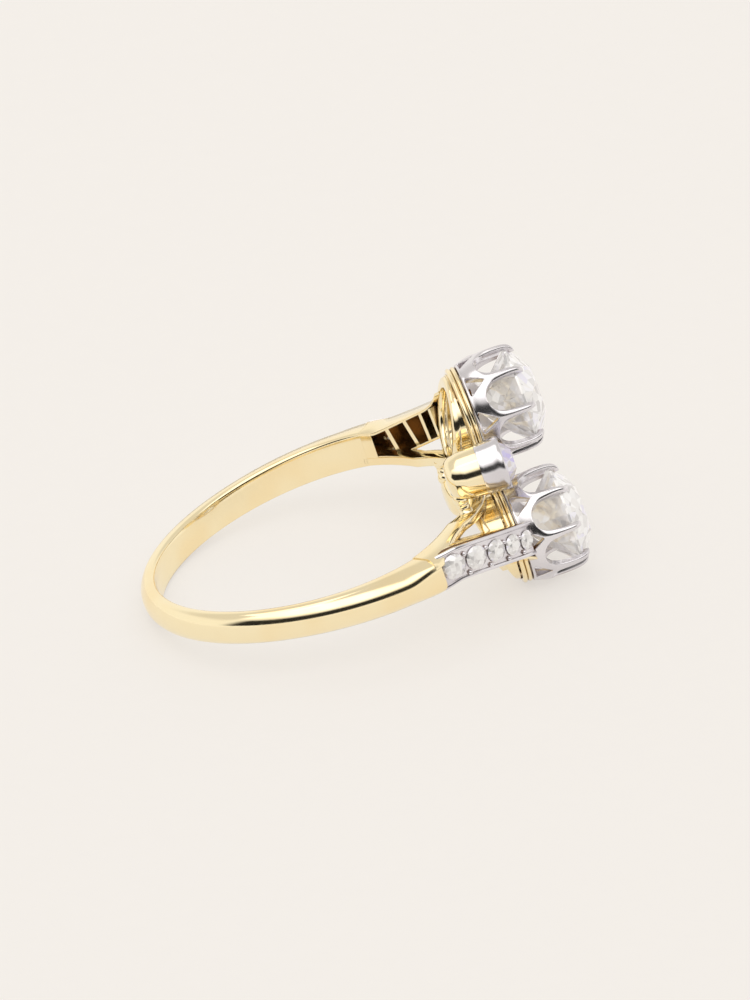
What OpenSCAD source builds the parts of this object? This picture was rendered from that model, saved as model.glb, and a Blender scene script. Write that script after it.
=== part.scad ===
/* [Finger band] */
// Radius of the finger hole
bore_r = 8; // [7:0.1:9.5]
// Width of the band at its back
back_w = 1.65; // [1.3:0.05:1.9]
// Width of the band where it forks
fork_w = 2; // [1.8:0.05:2.4]
// Thickness of the band at its back
back_t = 0.9; // [0.7:0.05:1.3]
// Thickness of the band where it forks
fork_t = 1.75; // [1.4:0.05:2.2]
// How far the back of the band lies below the middle of the head
back_drop = 0.2; // [0:0.05:0.5]

/* [Shoulders] */
// Width of the stone set branch of each shoulder
set_branch_w = 1.8; // [1.5:0.05:2]
// Width of the plain branch of each shoulder
plain_branch_w = 0.62; // [0.5:0.02:0.8]
// Thickness of the plain branch
plain_branch_t = 1; // [0.8:0.05:1.3]
// Thickness of the white metal plate on each shoulder
plate_t = 0.4; // [0.3:0.02:0.5]
// Number of stones in each shoulder
shoulder_stones = 5; // [3:1:5]
// Diameter of the first stone of each shoulder
shoulder_d = 1.26; // [0.9:0.02:1.3]

/* [Main stones] */
// Diameter of each main stone
main_d = 5.1; // [4.6:0.05:5.2]
// Distance between the middles of the two main stones
main_span = 6.6; // [6.5:0.05:7.4]
// Turn of the line through the main stones from the finger axis
head_turn = 30; // [20:1:36]
// Height of the main girdles above the finger hole
girdle_rise = 4.95; // [4.6:0.05:5.6]
// Thickness of the claw wall outside the girdle
claw_t = 0.36; // [0.3:0.02:0.5]
// Number of claws round each main stone
claws = 8; // [6:1:8]

/* [Side stones] */
// Diameter of each side stone
side_d = 2.3; // [1.9:0.02:2.4]
// Distance between the middles of the two side stones
side_span = 6.4; // [6.3:0.05:7.2]
// Height of the side girdles above the finger hole
side_rise = 2.65; // [2.3:0.05:3]
// Wall of the collets at the girdle
collet_t = 0.22; // [0.16:0.02:0.3]
// Outward lean of the collets
collet_lean = 4; // [0:0.5:6]

/* [Gallery] */
// Height of the middle of the gallery rail above the finger hole
rail_rise = 0.85; // [0.7:0.05:1]
// Height of the collar under each main claw setting
collar_rise = 1.75; // [1.6:0.05:2]
// Thickness of the collar
collar_t = 0.55; // [0.4:0.05:0.7]

/* [Hidden] */
// Hairline between one metal or stone and the next
hair = 0.03;
// Gap between one shoulder stone and the next
stone_gap = 0.055;
// Small rounding of the branches' edges
soft_edge = 0.12;
// How far the raw band reaches inside the finger hole before it is cut
cut_depth = 1;
eps = 0.01;
$fn = 48;

// Places in the head: H along the head, S across the ring, A along the finger
main_s = main_span / 2 * sin(head_turn);
main_a = main_span / 2 * cos(head_turn);
side_s = side_span / 2 * cos(head_turn);
side_a = side_span / 2 * sin(head_turn);
girdle_h = bore_r + girdle_rise;
rail_h = bore_r + rail_rise;
collar_h = bore_r + collar_rise;
setting_h = collar_h + collar_t;

// Cut of the stones, as shares of the diameter
crown_share = 0.18;
side_crown_share = 0.28;
pavilion_share = 0.42;
girdle_share = 0.02;
table_share = 0.29;
kite_share = 0.4;
kite_rise = 0.64;
culet_share = 0.06;
seat_top_share = 0.34;
seat_foot_share = 0.08;

// Claw setting
main_r = main_d / 2;
claw_top_r = main_r + claw_t;
claw_wall = 0.44;
claw_w = 0.42;
claw_first = 38;
claw_step = 360 / claws;
claw_h = girdle_h - setting_h;
scallop_low_h = setting_h + 0.31 * claw_h;
window_foot = 0.12;
window_top_h = setting_h + 0.4 * claw_h;
tip_rise = 0.2;
tip_r = 0.23;

// Outer side of the claw wall: share of its height, share of the radius at the girdle
wall_profile = [[0, 0.9], [0.25, 0.96], [0.5, 1], [0.8, 1.01], [1, 0.99], [1.08, 0.96]];
claw_foot_r = claw_top_r * wall_profile[0][1];

// Collar, gallery rail, posts and the bar between the rails
collar_r = claw_foot_r - 0.04;
collar_w = 0.5;
rail_r = collar_r - 0.2;
rail_w = 0.5;
rail_t = 0.5;
gallery_inset = 0.14;
gallery_t = 0.2;
rail_lean = 16;
post_r = 0.22;
bar_w = 0.8;
bar_t = 0.6;
bar_lift = 0.1;

// Share of the way from the back of the band, 0, to the head, 1
function head_share(angle) = (1 + cos(angle)) / 2;
function mix(a, b, share) = a + (b - a) * share;

// Band: centre along the finger, width and thickness at an angle from the head
fork_angle = 50;
fork_centre = 0.92;
centre_power = 1.25;
width_power = 2.2;
thickness_power = 3;
function band_share(angle) = head_share(angle) / head_share(fork_angle);
function band_centre(angle) =
    mix(-back_drop, fork_centre, pow(band_share(angle), centre_power));
function band_w(angle) = mix(back_w, fork_w, pow(band_share(angle), width_power));
function band_t(angle) = mix(back_t, fork_t, pow(band_share(angle), thickness_power));
function half_turn(angle) = angle <= 180 ? angle : 360 - angle;
function band_middle(angle) =
    (band_centre(half_turn(angle)) + back_drop) * (angle <= 180 ? 1 : -1)
    - back_drop * (1 - head_share(angle));

// Set branch: it leaves the finger circle past lift_angle and rises to the collar
lift_angle = 48;
branch_end = 19;
fork_step = 0.08;
branch_drop = 1.1;
branch_room = 0.55;
fork_shift = 0.1;
head_shift = 0.35;
shift_power = 1.35;
function lift(angle) = (lift_angle - angle) / (lift_angle - branch_end);
function branch_in(angle) = bore_r + (rail_rise + branch_room) * sin(90 * lift(angle));
function branch_out(angle) = bore_r + mix(fork_t + fork_step, girdle_rise - branch_drop, lift(angle));
function branch_centre(angle) =
    mix(fork_centre + fork_shift, main_a - head_shift, pow(max(0, lift(angle)), shift_power));

// Plain branch: it stays on the finger circle longer, then rises to the rail
plain_lift_angle = 31;
plain_end = 8;
plain_rise = 0.55;
plain_inset = 0.1;
plain_shift = 0.3;
plain_from_a = fork_centre - fork_w / 2 + plain_branch_w / 2 + plain_inset;
plain_to_a = plain_from_a + plain_shift;
function plain_share(angle) = max(0, (plain_lift_angle - angle) / (plain_lift_angle - plain_end));

// Stones along a shoulder: the last lies against the claw setting, each of the others against the next
stone_shrink = 0.06;
last_stone = shoulder_stones - 1;
last_lift = 0.82;
last_r = bore_r + mix(fork_t + fork_step, girdle_rise - branch_drop, last_lift);
last_a = mix(fork_centre + fork_shift, main_a - head_shift, pow(last_lift, shift_power));
function stone_d(i) = shoulder_d * (1 - stone_shrink * i);
last_reach = claw_foot_r + stone_d(last_stone) / 2 + hair;
last_angle = asin((main_s + sqrt(pow(last_reach, 2) - pow(main_a - last_a, 2))) / last_r);
function arc_angle(length, r) = length / r * 180 / PI;
function stone_angle(i) =
    i == last_stone ? last_angle
    : let (next = stone_angle(i + 1))
    next + arc_angle((stone_d(i) + stone_d(i + 1)) / 2 + stone_gap, branch_out(next + slope_step));
slope_step = 3;
function branch_slope(angle) =
    atan2(branch_out(angle - slope_step) - branch_out(angle + slope_step),
        slope_step * PI / 90 * branch_out(angle));

// White metal plate over the stones' branch
plate_margin = 0.12;
plate_side = 0.03;
plate_w = set_branch_w + 2 * plate_side;
plate_from = stone_angle(0) + arc_angle(stone_d(0) / 2 + plate_margin, branch_out(stone_angle(0)));

// Rest on the side: the low edge of the band's back and the foot of a claw setting touch the surface
rest_roll = -8.5;
edge_share = 0.4;
function rolled(p) = [
    p[0],
    p[1] * cos(rest_roll) - p[2] * sin(rest_roll),
    p[1] * sin(rest_roll) + p[2] * cos(rest_roll)];
band_low = [for (angle = [120:5:240])
    let (r = bore_r + edge_share * band_t(half_turn(angle)))
    rolled([r * cos(angle), r * sin(angle), band_middle(angle) - band_w(half_turn(angle)) / 2])];
head_low = [for (p = wall_profile, angle = [0:15:345])
    rolled([
        setting_h + p[0] * claw_h,
        -main_s + claw_top_r * p[1] * sin(angle),
        -main_a + claw_top_r * p[1] * cos(angle)])];
rest_tilt = max([for (h = head_low)
    min([for (b = band_low) atan2(b[2] - h[2], h[0] - b[0])])]);
lift_z = -min([for (p = concat(band_low, head_low)) p[0] * sin(rest_tilt) + p[2] * cos(rest_tilt)]);

// Middle of the resting ring along X: from the back of the band to the table of the lower stone
table_low = rolled([girdle_h + crown_share * main_d, -main_s, -main_a]);
front_x =
    table_low[0] * cos(rest_tilt)
    + (table_share * main_d - table_low[2]) * sin(rest_tilt);
middle_x = (front_x - (bore_r + back_t) * cos(rest_tilt)) / 2;

// Closed skin over rings of points, all with as many points
module skin(rings) {
    n = len(rings[0]);
    m = len(rings);
    points = [for (ring = rings) each ring];
    sides = [for (i = [0:m - 2], j = [0:n - 1])
        let (a = i * n + j, b = i * n + (j + 1) % n) each [[a, b, a + n], [b, b + n, a + n]]];
    caps = [[for (j = [n - 1:-1:0]) j], [for (j = [0:n - 1]) (m - 1) * n + j]];
    polyhedron(points, concat(sides, caps), convexity = 8);
}

function on_ring(angle, r, a) = [r * cos(angle), r * sin(angle), a];

// Domed section of the band: flat inside, rounded edges, low dome outside
dome_steps = 6;
dome_power = 0.7;
side_power = 0.85;
inside_share = 0.94;
function domed(angle, r0, r1, c, w) =
    let (side = mix(r0 + cut_depth, r1, edge_share))
    concat(
        [on_ring(angle, r0, c + w / 2 * inside_share), on_ring(angle, r0, c - w / 2 * inside_share)],
        [for (j = [0:dome_steps])
            let (f = -90 + 180 * j / dome_steps)
            on_ring(angle, side + (r1 - side) * pow(cos(f), dome_power),
                c + w / 2 * sign(sin(f)) * pow(abs(sin(f)), side_power))]);

// Square section of a branch with small rounded edges
function squared(angle, r0, r1, c, w) = let (e = soft_edge) [
    on_ring(angle, r0, c + w / 2 - e / 2), on_ring(angle, r0, c - w / 2 + e / 2),
    on_ring(angle, r0 + e, c - w / 2), on_ring(angle, r1 - e, c - w / 2), on_ring(angle, r1, c - w / 2 + e),
    on_ring(angle, r1, c + w / 2 - e), on_ring(angle, r1 - e, c + w / 2), on_ring(angle, r0 + e, c + w / 2)];

// Half of the ring's places are the other half turned over about the head's axis
module turned_over() rotate([180, 0, 0]) children();
module both_sides() {
    children();
    turned_over() children();
}

// Places: the finger axis along Z, the head along X
module at_main() translate([0, main_s, main_a]) rotate([0, 90, 0]) children();
module at_side()
    translate([bore_r, -side_s, side_a]) rotate([0, 0, -collet_lean]) rotate([0, 90, 0]) children();
module at_stone(i) {
    angle = stone_angle(i);
    rotate([0, 0, angle]) translate([branch_out(angle), 0, branch_centre(angle)])
        rotate([0, 0, branch_slope(angle)]) rotate([0, 90, 0]) children();
}

// Band of the ring from fork to fork round the back
band_steps = 60;
module band() {
    skin([for (i = [0:band_steps])
        let (
            angle = mix(fork_angle, 360 - fork_angle, i / band_steps),
            half = half_turn(angle))
        domed(angle, bore_r - cut_depth, bore_r + band_t(half), band_middle(angle), band_w(half))]);
}

// Branch under the stones, pierced by a window behind each stone
branch_steps = 14;
branch_root = 3;
module set_branch() {
    difference() {
        skin([for (i = [0:branch_steps])
            let (angle = mix(branch_end, plate_from + branch_root, i / branch_steps))
            squared(angle, branch_in(angle) - (angle > lift_angle ? cut_depth : 0),
                branch_out(angle) - plate_t - hair, branch_centre(angle), set_branch_w)]);
        for (i = [0:shoulder_stones - 1]) window(i);
        setting_room();
    }
}
window_wall = 0.14;
window_share = 0.865;
last_window = 1.8;
module window(i) {
    half = (window_share * (stone_d(i) + stone_gap) - window_wall) / 2;
    head_half = i == last_stone ? half * last_window : half;
    w = set_branch_w - 2 * window_wall;
    depth = girdle_rise - branch_drop;
    at_stone(i) translate([-w / 2, -head_half, -depth])
        cube([w, half + head_half, depth + eps]);
}

// Plain branch from the fork to the gallery rail
plain_root = 8;
module plain_branch() {
    skin([for (i = [0:branch_steps])
        let (
            angle = mix(plain_end, fork_angle + plain_root, i / branch_steps),
            share = plain_share(angle),
            r = bore_r + plain_rise * sin(90 * share))
        squared(angle, r - (share > 0 ? 0 : cut_depth), r + plain_branch_t,
            mix(plain_from_a, plain_to_a, share), plain_branch_w)]);
}

// Outline of the claw wall, grown by a gap
module wall_outline(gap) {
    polygon(concat(
        [[0, -gap]],
        [for (p = wall_profile) [claw_top_r * p[1] + gap, p[0] * claw_h + (p[0] == 0 ? -gap : 0)]],
        [[0, wall_profile[len(wall_profile) - 1][0] * claw_h]]));
}

// Space kept for a claw setting above its collar
module setting_room() {
    at_main() translate([0, 0, setting_h]) rotate_extrude() wall_outline(hair);
    at_main() translate([0, 0, girdle_h]) cylinder(h = main_r, r = claw_top_r + hair);
}

// Collar with two ridges under the claw setting: share of its height, share of a groove's depth
collar_profile = [[0, 1], [0.15, 0], [0.35, 0], [0.5, 1], [0.65, 0], [0.85, 0], [1, 1]];
module collar() {
    groove = collar_t / 4;
    collar_top = setting_h - hair - eps;
    at_main() rotate_extrude() polygon(concat(
        [[collar_r - collar_w, collar_h]],
        [for (p = collar_profile) [collar_r - groove * p[1], mix(collar_h, collar_top, p[0])]],
        [[collar_r - collar_w, collar_top]]));
}

// Gallery rail on the finger side of the collar, leaning to meet it at its outer end
module rail() {
    at_main() translate([0, 0, rail_h]) rotate([0, rail_lean, 0]) difference() {
        cylinder(h = rail_t, r = rail_r);
        translate([0, 0, -eps]) cylinder(h = rail_t + 2 * eps, r = rail_r - rail_w);
    }
}

// Wall set back between the rail and the collar
module gallery_wall() {
    r = rail_r - gallery_inset;
    low = rail_h - rail_r * tan(rail_lean);
    at_main() difference() {
        translate([0, 0, low]) cylinder(h = collar_h - low + eps, r = r);
        translate([0, 0, low - eps]) cylinder(h = collar_h - low + 3 * eps, r = r - gallery_t);
        translate([0, 0, rail_h + rail_t / 2]) rotate([0, rail_lean, 0])
            translate([0, 0, -girdle_rise]) cylinder(h = girdle_rise, r = 2 * rail_r);
    }
}

// Posts from the rail up to the collar
module posts() {
    reach = rail_r - rail_w / 2;
    for (a = [45:90:315]) {
        fall = reach * tan(rail_lean) * cos(a);
        at_main() rotate([0, 0, a]) translate([reach, 0, rail_h + rail_t / 2 - fall])
            cylinder(h = collar_h - rail_h + fall, r = post_r);
    }
}

// Half of the bar that joins the two rails through the middle of the head
module bridge() {
    low = rail_h - rail_r * tan(rail_lean) + bar_lift;
    rotate([atan2(main_a, main_s), 0, 0]) translate([low, -eps, -bar_w / 2])
        cube([bar_t, main_span / 2 - rail_r + rail_w, bar_w]);
}

// Gold foot of a collet and the solder knobs that join it to the plain branch
collet_r = side_d / 2 + collet_t;
collet_taper = 0.18;
collet_foot_r = collet_r - collet_taper;
collet_bore_r = collet_r - 0.5;
collet_joint = 0.57 * side_rise;
collet_base = 0.35;
base_share = 0.6;
knob_r = 0.42;
knob_places = [0, 0.45, 0.9];
knob_rise = [0.05, 0.1];
knob_across = [0.3, 0.45];
knob_inset = 0.15;
knob_from = [bore_r + knob_rise[0], -side_s - knob_across[0], side_a - collet_foot_r + knob_inset];
knob_to = [bore_r + knob_rise[1], -side_s - knob_across[1], -plain_from_a];
function collet_wall_r(h) = mix(collet_foot_r, collet_r, h / side_rise);
module collet_foot() {
    at_side() difference() {
        union() {
            cylinder(h = collet_joint, r1 = collet_foot_r, r2 = collet_wall_r(collet_joint));
            translate([0, 0, -collet_base])
                cylinder(h = collet_base + eps, r1 = base_share * collet_foot_r, r2 = collet_foot_r);
        }
        translate([0, 0, collet_base]) cylinder(h = collet_joint, r = collet_bore_r);
    }
}
module knobs() {
    for (share = knob_places)
        translate(mix(knob_from, knob_to, share)) sphere(r = knob_r);
}

// All the gold, fused into one skin at its own size and then cut by the finger hole
gold_fn = 20;
module gold_mount() {
    color("gold") rest() difference() {
        resize([0, 0, 0]) difference() {
            $fn = gold_fn;
            union() {
                band();
                both_sides() {
                    set_branch();
                    plain_branch();
                    collar();
                    rail();
                    gallery_wall();
                    posts();
                    bridge();
                    collet_foot();
                    knobs();
                }
            }
            both_sides() plate_room();
        }
        translate([0, 0, -bore_r]) cylinder(h = 2 * bore_r, r = bore_r);
    }
}

// White metal plate that holds the stones of one shoulder, and its seat in the gold
module plate_body(low, high, gap) {
    skin([for (i = [0:branch_steps])
        let (
            reach = plate_from + (i < branch_steps ? 0 : atan2(gap, bore_r)),
            angle = mix(branch_end, reach, i / branch_steps))
        squared(angle, branch_out(angle) - low, branch_out(angle) + high,
            branch_centre(angle), plate_w + 2 * gap)]);
}
module plate_room() {
    plate_body(plate_t + hair, plate_t, hair);
    for (i = [0:shoulder_stones - 1])
        at_stone(i) translate([0, 0, -pavilion_share * stone_d(i) - hair])
            cylinder(h = stone_d(i), r = stone_d(i) / 2 + hair);
}
module shoulder_plate() {
    difference() {
        plate_body(plate_t, 0, 0);
        for (i = [0:shoulder_stones - 1])
            at_stone(i) translate([0, 0, -2 * plate_t]) cylinder(h = 4 * plate_t, r = stone_d(i) / 2 + hair);
        setting_room();
    }
}

// Claw setting: a flared wall with a scallop between claws and a window under each claw
module claw_setting() {
    at_main() difference() {
        union() {
            difference() {
                translate([0, 0, setting_h]) rotate_extrude() difference() {
                    wall_outline(0);
                    translate([-claw_wall, 0]) wall_outline(eps);
                }
                for (i = [0:claws - 1]) {
                    rotate([0, 0, claw_first + (i + 0.5) * claw_step]) scallop();
                    rotate([0, 0, claw_first + i * claw_step]) foot_window();
                }
            }
            for (i = [0:claws - 1])
                rotate([0, 0, claw_first + i * claw_step]) translate([main_r, 0, girdle_h + tip_rise])
                    sphere(r = tip_r);
        }
        translate([0, 0, girdle_h]) stone_room(main_d + 2 * hair);
    }
}
scallop_points = 8;
module scallop() {
    r = claw_top_r * sin(claw_step / 2) - claw_w / 2;
    rotate([90, 0, 90]) linear_extrude(height = 2 * claw_top_r)
        polygon(concat(
            [for (k = [0:scallop_points])
                let (turn = 180 + 180 * k / scallop_points)
                [r * cos(turn), scallop_low_h + r + r * sin(turn)]],
            [[r + eps, girdle_h + main_r], [-r - eps, girdle_h + main_r]]));
}
foot_window_share = 0.62;
module foot_window() {
    half = claw_foot_r * sin(claw_step / 2) * foot_window_share;
    low = setting_h + window_foot;
    rotate([90, 0, 90]) linear_extrude(height = 2 * claw_top_r)
        polygon([[-half, low], [half, low], [0, window_top_h]]);
}

// Stone of a round cut: table, crown, girdle and pavilion facets down to an open culet
function ring_points(r, count, turn, h) =
    [for (i = [0:count - 1]) [r * cos(360 / count * i + turn), r * sin(360 / count * i + turn), h]];
module cut_stone(d, crown = crown_share) {
    n = 8;
    table = ring_points(table_share * d, n, 0, crown * d);
    kite = ring_points(kite_share * d, n, 180 / n, kite_rise * crown * d);
    top = ring_points(d / 2, 2 * n, 0, girdle_share * d / 2);
    low = ring_points(d / 2, 2 * n, 0, -girdle_share * d / 2);
    culet = ring_points(culet_share * d, n, 0, -pavilion_share * d);
    k0 = n;
    t0 = 2 * n;
    l0 = 4 * n;
    c0 = 6 * n;
    faces = concat(
        [[for (i = [0:n - 1]) i]],
        [for (i = [0:n - 1]) each let (j = (i + 1) % n) [
            [i, k0 + i, j],
            [i, t0 + 2 * i, k0 + i],
            [j, k0 + i, t0 + 2 * j],
            [k0 + i, t0 + 2 * i, t0 + 2 * i + 1],
            [k0 + i, t0 + 2 * i + 1, t0 + 2 * j]]],
        [for (i = [0:2 * n - 1]) each let (j = (i + 1) % (2 * n)) [
            [t0 + i, l0 + i, t0 + j],
            [t0 + j, l0 + i, l0 + j]]],
        [for (i = [0:n - 1]) each let (j = (i + 1) % n) [
            [c0 + i, l0 + 2 * i + 1, l0 + 2 * i],
            [c0 + i, c0 + j, l0 + 2 * i + 1],
            [c0 + j, l0 + 2 * j, l0 + 2 * i + 1]]],
        [[for (i = [n - 1:-1:0]) c0 + i]]);
    polyhedron(
        [for (group = [table, kite, top, low, culet]) each group],
        [for (f = faces) [for (k = [len(f) - 1:-1:0]) f[k]]]);
}

// Plain envelope of a stone, for the seats cut in the metal
module stone_room(d, crown = crown_share) {
    cylinder(h = crown * d, r1 = d / 2, r2 = seat_top_share * d);
    translate([0, 0, -girdle_share * d])
        cylinder(h = girdle_share * d + eps, r = d / 2);
    translate([0, 0, -pavilion_share * d])
        cylinder(h = (pavilion_share - girdle_share) * d + eps, r1 = seat_foot_share * d, r2 = d / 2);
}

// White metal top of a collet with a rubbed over rim
rim_r = 0.16;
module collet_top() {
    at_side() difference() {
        union() {
            translate([0, 0, collet_joint + hair]) cylinder(
                h = side_rise - collet_joint - hair,
                r1 = collet_wall_r(collet_joint + hair),
                r2 = collet_r);
            translate([0, 0, side_rise]) rotate_extrude() translate([collet_r - rim_r, 0]) circle(r = rim_r);
        }
        translate([0, 0, collet_joint]) cylinder(h = side_rise, r = collet_bore_r);
        translate([0, 0, side_rise]) stone_room(side_d + 2 * hair, side_crown_share);
    }
}

// The ring lying on its side, its head to +X
module rest()
    translate([-middle_x, 0, lift_z]) rotate([0, -rest_tilt, 0]) rotate([rest_roll, 0, 0]) children();

module claw_setting_upper() color("gainsboro") rest() claw_setting();
module claw_setting_lower() color("gainsboro") rest() turned_over() claw_setting();
module collet_near() color("gainsboro") rest() collet_top();
module collet_far() color("gainsboro") rest() turned_over() collet_top();
module shoulder_plate_far() color("silver") rest() shoulder_plate();
module shoulder_plate_near() color("silver") rest() turned_over() shoulder_plate();
module main_stone_upper() color("aliceblue") rest() at_main() translate([0, 0, girdle_h]) cut_stone(main_d);
module main_stone_lower()
    color("aliceblue") rest() turned_over() at_main() translate([0, 0, girdle_h]) cut_stone(main_d);
module side_stone_near()
    color("aliceblue") rest() at_side() translate([0, 0, side_rise]) cut_stone(side_d, side_crown_share);
module side_stone_far()
    color("aliceblue") rest() turned_over()
        at_side() translate([0, 0, side_rise]) cut_stone(side_d, side_crown_share);
module shoulder_stone_far(i)
    color("aliceblue") rest() at_stone(i) cut_stone(stone_d(i));
module shoulder_stone_near(i)
    color("aliceblue") rest() turned_over() at_stone(i) cut_stone(stone_d(i));

gold_mount();
claw_setting_upper();
claw_setting_lower();
collet_near();
collet_far();
shoulder_plate_far();
shoulder_plate_near();
main_stone_upper();
main_stone_lower();
side_stone_near();
side_stone_far();
shoulder_stone_far(0);  // shoulder_stone_far_1
shoulder_stone_far(1);  // shoulder_stone_far_2
shoulder_stone_far(2);  // shoulder_stone_far_3
shoulder_stone_far(3);  // shoulder_stone_far_4
shoulder_stone_far(4);  // shoulder_stone_far_5
shoulder_stone_near(0);  // shoulder_stone_near_1
shoulder_stone_near(1);  // shoulder_stone_near_2
shoulder_stone_near(2);  // shoulder_stone_near_3
shoulder_stone_near(3);  // shoulder_stone_near_4
shoulder_stone_near(4);  // shoulder_stone_near_5
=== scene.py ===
from collections import namedtuple
from math import atan2, cos, degrees, pi, radians, sin, sqrt, tan

import bmesh
import bpy
from mathutils import Matrix, Vector


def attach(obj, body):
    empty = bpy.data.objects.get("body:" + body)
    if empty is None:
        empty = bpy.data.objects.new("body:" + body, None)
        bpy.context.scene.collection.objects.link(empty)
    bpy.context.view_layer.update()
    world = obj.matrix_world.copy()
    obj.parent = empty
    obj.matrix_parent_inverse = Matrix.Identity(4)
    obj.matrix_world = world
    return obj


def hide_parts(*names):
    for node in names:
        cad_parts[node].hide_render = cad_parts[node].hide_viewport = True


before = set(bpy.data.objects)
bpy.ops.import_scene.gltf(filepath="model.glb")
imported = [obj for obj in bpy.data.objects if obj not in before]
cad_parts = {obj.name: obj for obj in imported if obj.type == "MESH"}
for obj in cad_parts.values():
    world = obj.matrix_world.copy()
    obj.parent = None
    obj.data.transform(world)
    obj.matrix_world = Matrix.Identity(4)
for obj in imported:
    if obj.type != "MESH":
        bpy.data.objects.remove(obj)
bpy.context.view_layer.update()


# Sizes in millimetres and degrees, in the ring's own frame: H to the head, S across, A along the finger

# Shank: width, thickness and middle, from the back to the fork, and the power by which each grows
BORE_R = 8.0
BACK_W, FORK_W, W_POWER = 1.65, 2.0, 2.2
BACK_T, FORK_T, T_POWER = 0.9, 1.75, 3
BACK_DROP, FORK_CENTRE, CENTRE_POWER = 0.2, 0.92, 1.25
FORK_ANGLE = 50.0

# Shank's section: flat sides and a low dome, which grow squarer where the band meets the plate
SQUARE_FROM, SQUARE_RUN, SQUARE_MOST = 66, 12, 0.5
SIDE_SHARES = (0.6, 0.86)
DOME_POWERS = (2.4, 7.0)
TOP_EDGE_DROP, TOP_EDGE_SHARE = 0.04, 0.985
INSIDE_EDGE = ((0.2, 1.0), (0.1, 0.985), (0.035, 0.94), (0, 0.84), (0, 0.5), (0, 0))

# Heads: main stones, claws, and the collar under each claw setting
MAIN_D, MAIN_S, MAIN_A, GIRDLE_H = 5.1, 1.65, 2.8579, 12.95
CLAW_FIRST, CLAWS = 38.0, 8
COLLAR_H, SETTING_H, COLLAR_R = 9.75, 10.3, 2.58

# Galleries under the heads: collar, leaning rail, wall and posts between them, and the bridge
COLLAR_WALL, COLLAR_CHAMFER, COLLAR_GAP, RIDGES, RIDGE_DEPTH = 0.65, 0.04, 0.03, 2, 0.16
RAIL_H, RAIL_R, RAIL_LEAN = 8.85, 2.38, 16.0
RAIL_HALF_W, RAIL_HALF_T = 0.31, 0.25
GALLERY_WALL, GALLERY_SET_BACK = 0.45, 0.09
POSTS, POST_FIRST, POST_INSET = 4, 45, 0.25
BRIDGE_HALF_W, BRIDGE_HALF_T, BRIDGE_OVERLAP, BRIDGE_RISE = 0.4, 0.3, 0.5, 0.1
SQUARED = 0.6

# Collets of the side stones
SIDE_D, SIDE_S, SIDE_A, SIDE_RISE, LEAN = 2.3, 2.7713, 1.6, 2.65, 4.0
COLLET_R, COLLET_FOOT_R, COLLET_JOINT, COLLET_BORE_R = 1.37, 1.19, 1.51, 0.87

# Stone set branches: both ends, where they lift off the bore, and the run in which they leave the band
BRANCH_W, BRANCH_END, PLATE_FROM, LIFT_ANGLE, FORK_RUN = 1.8, 19.0, 53.65, 48.0, 6

# Lift of their inside, step and rise of their outside, and the way of their middle towards the head's
BRANCH_LIFT, BRANCH_STEP, BRANCH_RISE = 1.4, 0.08, 3.85
BRANCH_SHIFT, BRANCH_SHORT, BRANCH_POWER = 0.1, 0.35, 1.35

# Their walls, the flare of the outer wall, the angle and slant of each bar, their roots and their plates
BRANCH_WALL, WALL_DROP, PLATE_COVER = 0.15, 0.1, 0.05
FLARE, FLARE_FROM, FLARE_POWER = 0.55, 30, 2.2
WINDOW_BARS = ((42.2, 0.95), (35.5, 1.2), (29.8, 0.4), (25.2, 0.3))
BAR_HALF_TURN, ROOT_FROM = 0.6, 48.8
PLATE_W, PLATE_T = 1.86, 0.4

# Plain branches
PLAIN_W, PLAIN_T, PLAIN_END, PLAIN_LIFT, PLAIN_RISE = 0.62, 1.0, 8.0, 31.0, 0.55
PLAIN_A = (0.33, 0.63)
PLAIN_CROWN, PLAIN_RUN = 0.2, 36

# Shoulder stones, number 0 at the fork: each is smaller by a share, and the last has its own angle
STONES, STONE_D, STONE_STEP, STONE_GAP = 5, 1.26, 0.06, 0.055
LAST_STONE_ANGLE, BETWEEN_STONES = 24.1453, 3

# Step that keeps two skins out of one plane, and the radius at which a turned piece closes on its axis
HAIR, AXIS_R = 0.005, 0.005

# Seat: the ring lies on its side, on the shank's edge and the lower head, its middle over the floor's
TILT, ROLL, MIDDLE_X, LIFT_Z = 11.754, -8.5, 2.84561, 3.01272

SEAT = (
    Matrix.Translation((-MIDDLE_X / 1000, 0, LIFT_Z / 1000))
    @ Matrix.Rotation(radians(-TILT), 4, "Y")
    @ Matrix.Rotation(radians(ROLL), 4, "X")
    @ Matrix.Scale(0.001, 4)
)

# Half a turn about the head's axis lays a piece over to the ring's other half
OVER = Matrix.Rotation(pi, 4, "X")
FAR_NEAR = (("far", False), ("near", True))
NEAR_FAR = (("near", False), ("far", True))
UPPER_LOWER = (("upper", False), ("lower", True))


def mix(a, b, share):
    return a + (b - a) * share


def smooth(x):
    x = min(1.0, max(0.0, x))
    return x * x * (3 - 2 * x)


def spread(a, b, steps):
    return [a + (b - a) * i / steps for i in range(steps + 1)]


def around(count):
    """Even turns round a circle, in radians."""
    return [2 * pi * k / count for k in range(count)]


def squared(x):
    """Sine or cosine of a round section, pushed out towards a square one."""
    return abs(x) ** SQUARED * (1 if x > 0 else -1)


# Meshes: points are in the ring's frame in millimetres until a piece is seated


def loft(rings, closed=False):
    """Skin over rings of as many points each, capped at both ends unless it closes on itself."""
    n = len(rings[0])
    points = [p for ring in rings for p in ring]
    last = len(rings) if closed else len(rings) - 1
    faces = []
    for i in range(last):
        k = (i + 1) % len(rings)
        for j in range(n):
            m = (j + 1) % n
            faces.append((i * n + j, i * n + m, k * n + m, k * n + j))
    if not closed:
        faces.append(tuple(range(n - 1, -1, -1)))
        faces.append(tuple(range((len(rings) - 1) * n, len(rings) * n)))
    return points, faces


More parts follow.
